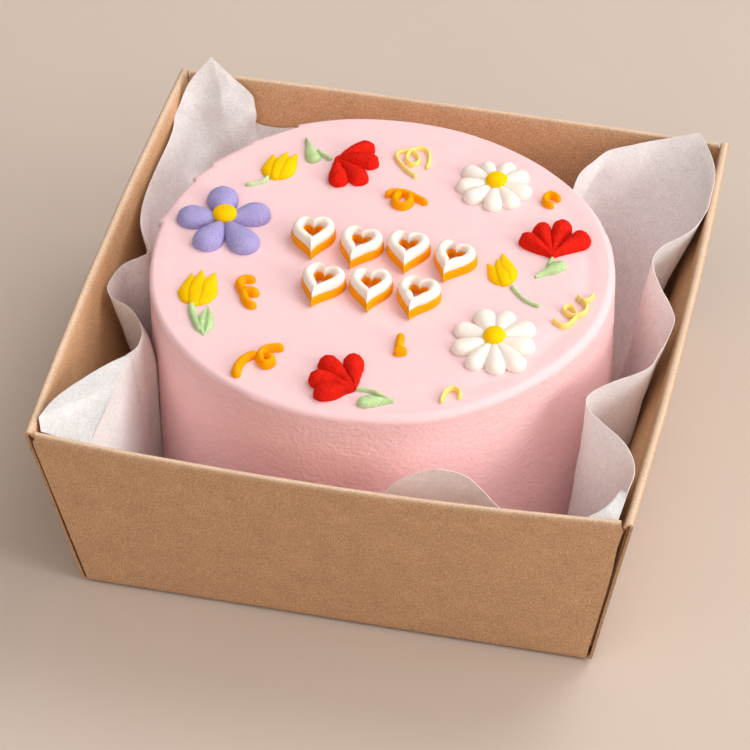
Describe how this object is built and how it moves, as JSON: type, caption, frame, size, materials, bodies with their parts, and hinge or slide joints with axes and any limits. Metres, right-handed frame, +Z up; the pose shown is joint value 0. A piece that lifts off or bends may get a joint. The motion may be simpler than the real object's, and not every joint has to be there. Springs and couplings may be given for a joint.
{
  "type": "bento cake",
  "caption": "Small round buttercream cake with piped flowers, hearts and streamers on top, on baking paper in a low open board tray.",
  "frame": {"origin": "centre of the flat underside of the tray", "axes": "+Z up, -Y out of the tray's front wall, the one nearest the reader of the piping, +X to its right"},
  "size_m": [0.1564, 0.1544, 0.0701],
  "materials": {
    "tray_board": "matt unbleached brown board with fine fibres",
    "baking_paper": "thin, slightly see-through white baking paper",
    "pink_cream": "pale pink buttercream spread smooth, satin",
    "violet_cream": "violet blue buttercream, matt and grainy",
    "yellow_cream": "smooth, matt to satin whipped buttercream",
    "pale_yellow_cream": "smooth, matt to satin whipped buttercream",
    "red_cream": "deep red buttercream, matt and rough",
    "white_cream": "smooth, matt to satin whipped buttercream",
    "orange_cream": "yolk orange buttercream, satin",
    "green_cream": "smooth, matt to satin whipped buttercream"
  },
  "bodies": {
    "root": {"tray": "tray_board", "liner": "baking_paper", "cake": "pink_cream", "violet_petals": "violet_cream", "violet_centre": "yellow_cream", "daisy_petals_1": "white_cream", "daisy_centre_1": "yellow_cream", "daisy_petals_2": "white_cream", "daisy_centre_2": "yellow_cream", "red_petals_1": "red_cream", "red_petals_2": "red_cream", "red_petals_3": "red_cream", "red_leaf_1": "green_cream", "red_leaf_2": "green_cream", "red_leaf_3": "green_cream", "tulip_1": "yellow_cream", "tulip_2": "yellow_cream", "tulip_3": "yellow_cream", "tulip_stem_1": "green_cream", "tulip_stem_2": "green_cream", "tulip_stem_3": "green_cream", "heart_base_1": "orange_cream", "heart_base_2": "orange_cream", "heart_base_3": "orange_cream", "heart_base_4": "orange_cream", "heart_base_5": "orange_cream", "heart_base_6": "orange_cream", "heart_base_7": "orange_cream", "heart_top_1": "white_cream", "heart_top_2": "white_cream", "heart_top_3": "white_cream", "heart_top_4": "white_cream", "heart_top_5": "white_cream", "heart_top_6": "white_cream", "heart_top_7": "white_cream", "orange_streamer_1": "orange_cream", "orange_streamer_2": "orange_cream", "orange_streamer_3": "orange_cream", "orange_streamer_4": "orange_cream", "orange_streamer_5": "orange_cream", "yellow_streamer_1": "pale_yellow_cream", "yellow_streamer_2": "pale_yellow_cream", "yellow_streamer_3": "pale_yellow_cream"}
  },
  "joints": []
}
